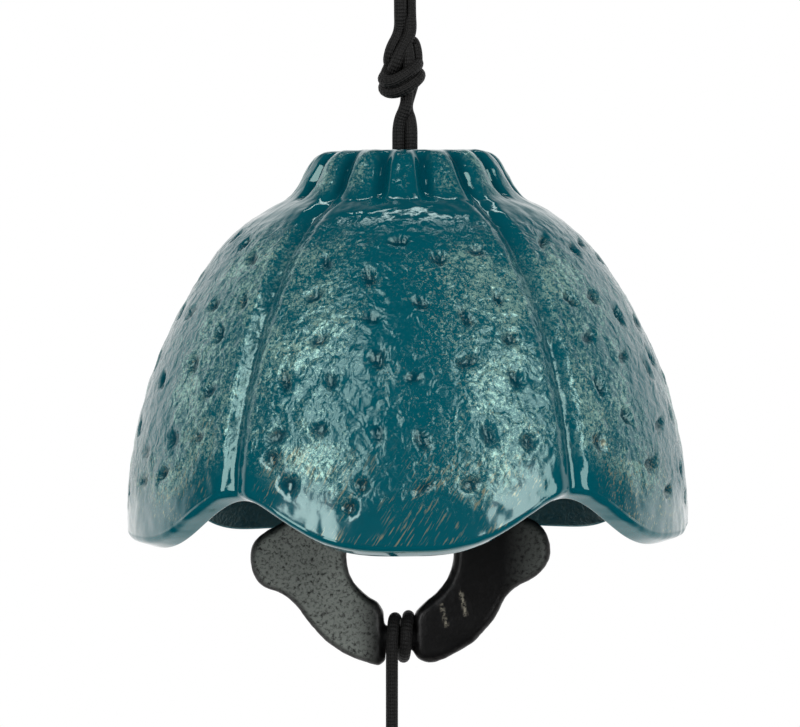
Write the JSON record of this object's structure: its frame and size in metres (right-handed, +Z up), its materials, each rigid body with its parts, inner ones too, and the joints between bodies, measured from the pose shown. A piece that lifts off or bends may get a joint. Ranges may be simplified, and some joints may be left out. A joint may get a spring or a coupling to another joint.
{
  "type": "wind bell",
  "caption": "Cast-iron wind bell in the form of a lobed sea-urchin shell on a braided cord, with a ring clapper and a paper strip that catches the wind.",
  "frame": {"origin": "inside of the top of the hanging loop, where it bears on its hook", "axes": "+Z up along the hanging cord, -Y the front, +X to the right seen from the front"},
  "size_m": [0.08, 0.0798, 0.2367],
  "materials": {
    "bell_iron": "glossy deep teal enamel with pale celadon flecks on the sand-cast grain",
    "clapper_iron": "black sand-cast iron, semi-matt",
    "cord": "black braided cord",
    "paper": "blank fibrous paper"
  },
  "bodies": {
    "hanger": {"hanging_loop": "cord", "loop_knot": "cord"},
    "crown_cord": {"crown_strands": "cord", "stop_knot": "cord"},
    "bell": {"bell_shell": "bell_iron"},
    "clapper_cord": {"clapper_cord": "cord"},
    "clapper": {"clapper_ring": "clapper_iron", "clapper_hitch": "cord", "strip_hitch": "cord"},
    "strip_cord": {"strip_cord": "cord"},
    "strip": {"paper_strip": "paper", "strip_loop": "cord", "strip_knot": "cord"}
  },
  "joints": [
    {"name": "bell_turn", "type": "hinge", "parent": "hanger", "child": "crown_cord", "pos_m": [0, 0, -0.0297], "axis": [0, 0, 1], "range_deg": [-90, 90]},
    {"name": "bell_rock", "type": "hinge", "parent": "crown_cord", "child": "bell", "pos_m": [0, 0, -0.04379], "axis": [1, 0, 0], "range_deg": [-10, 10]},
    {"name": "clapper_swing", "type": "hinge", "parent": "bell", "child": "clapper_cord", "pos_m": [0, 0, -0.04379], "axis": [0, 1, 0], "range_deg": [-15, 15]},
    {"name": "clapper_flap", "type": "hinge", "parent": "clapper_cord", "child": "clapper", "pos_m": [-0.0007, 0, -0.07079], "axis": [1, 0, 0], "range_deg": [-25, 25]},
    {"name": "strip_swing", "type": "hinge", "parent": "clapper", "child": "strip_cord", "pos_m": [-0.00185, -0.0028, -0.11153], "axis": [1, 0, 0], "range_deg": [-45, 45]},
    {"name": "strip_turn", "type": "hinge", "parent": "strip_cord", "child": "strip", "pos_m": [-0.00185, -0.0028, -0.11153], "axis": [0, 0, 1], "range_deg": [-90, 90]}
  ]
}
